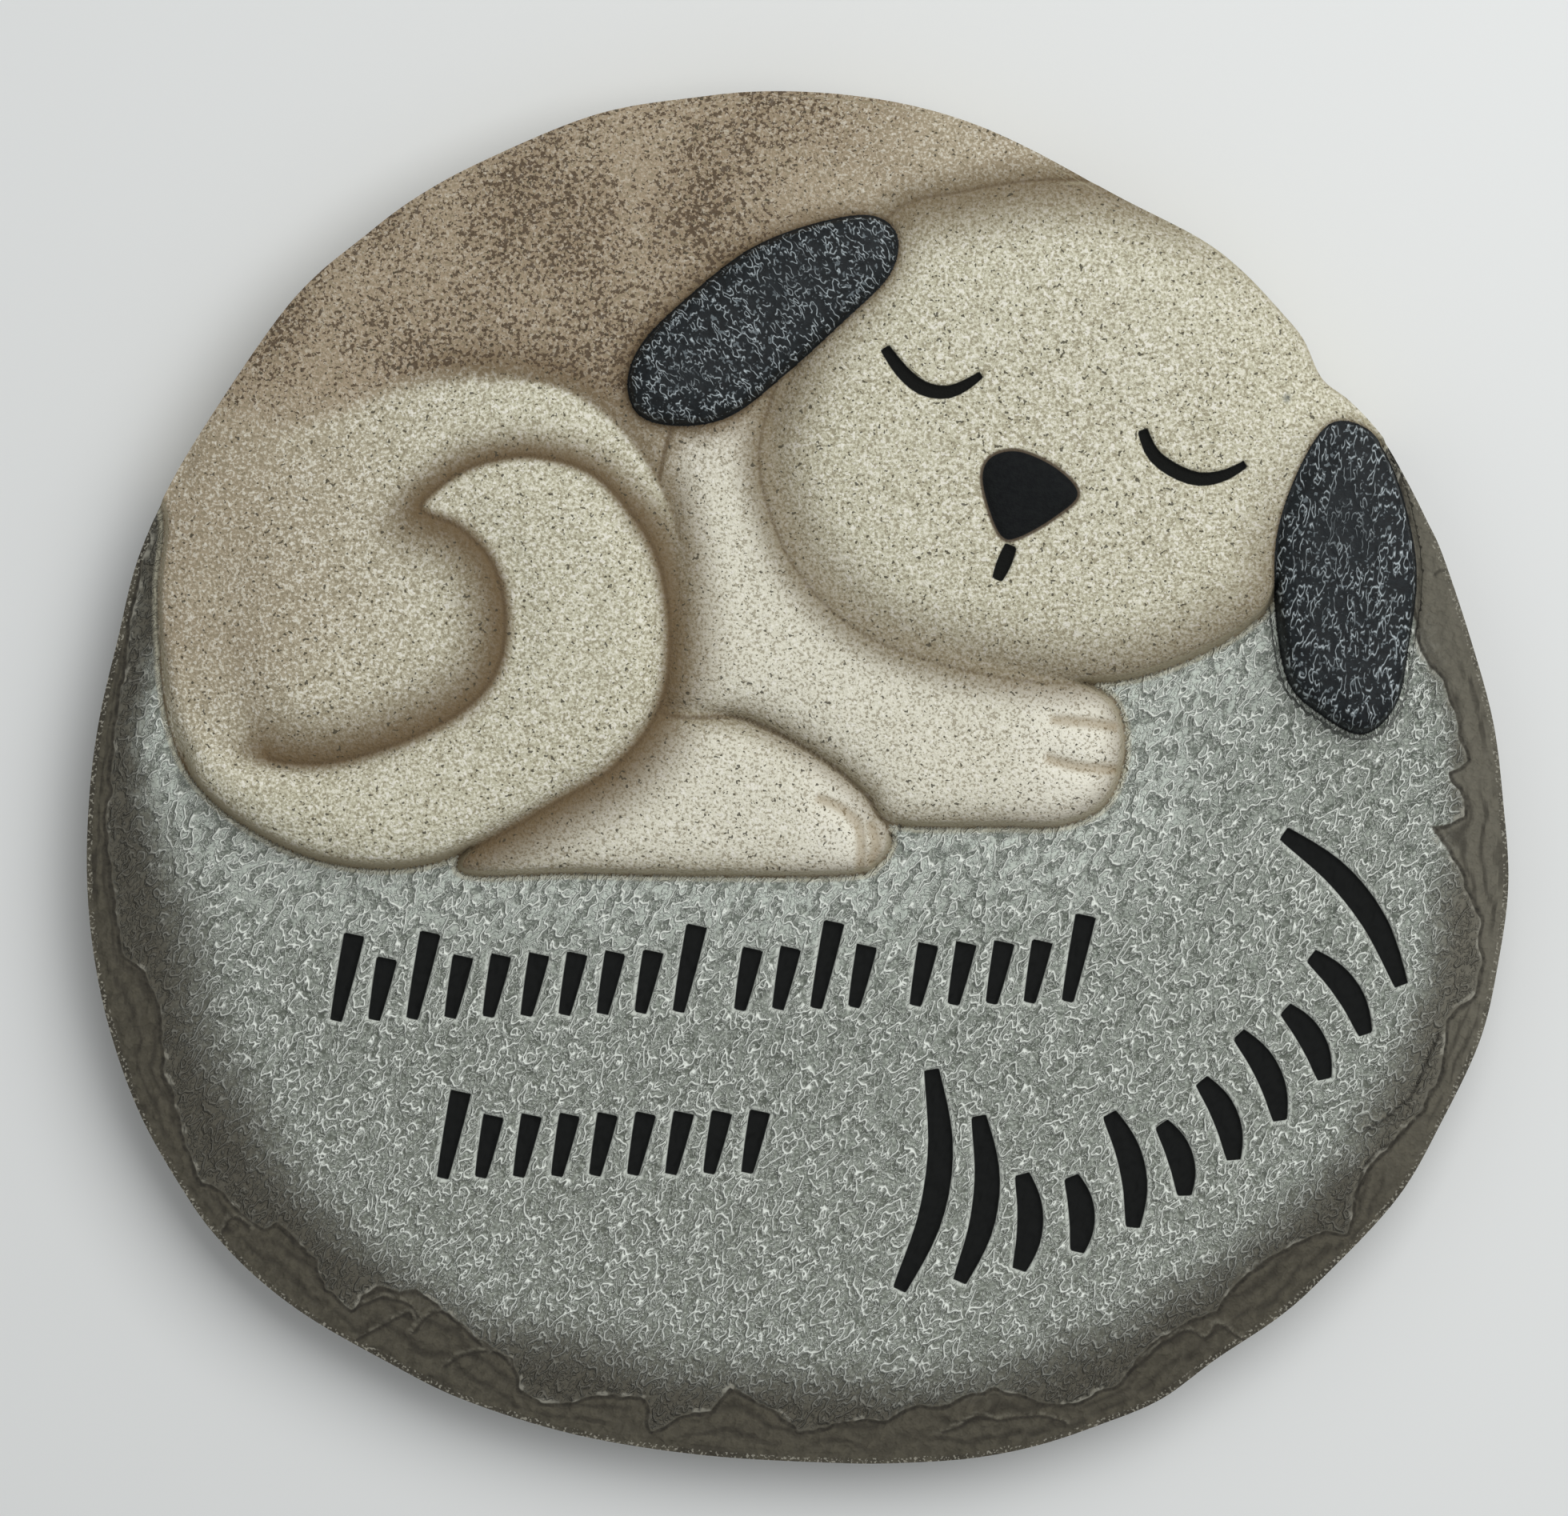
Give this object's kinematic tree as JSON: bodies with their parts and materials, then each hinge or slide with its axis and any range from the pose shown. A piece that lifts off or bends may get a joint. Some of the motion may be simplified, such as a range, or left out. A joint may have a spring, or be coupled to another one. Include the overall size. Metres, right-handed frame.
{
  "type": "pet memorial stone",
  "caption": "Cast stone slab with a sleeping dog in low relief over a slate-like ground and rows of engraved strokes in place of an inscription.",
  "frame": {"origin": "bottom centre of the stone's bounding box, on the plane it lies on", "axes": "+Z out of the carved face, +X to the viewer's right across the stone's longest side, +Y towards the dog's back, the top of the picture"},
  "size_m": [0.2798, 0.27, 0.0255],
  "materials": {
    "cast_stone": "matt, brush-painted cast"
  },
  "bodies": {
    "root": {"memorial_stone": "cast_stone"}
  },
  "joints": []
}
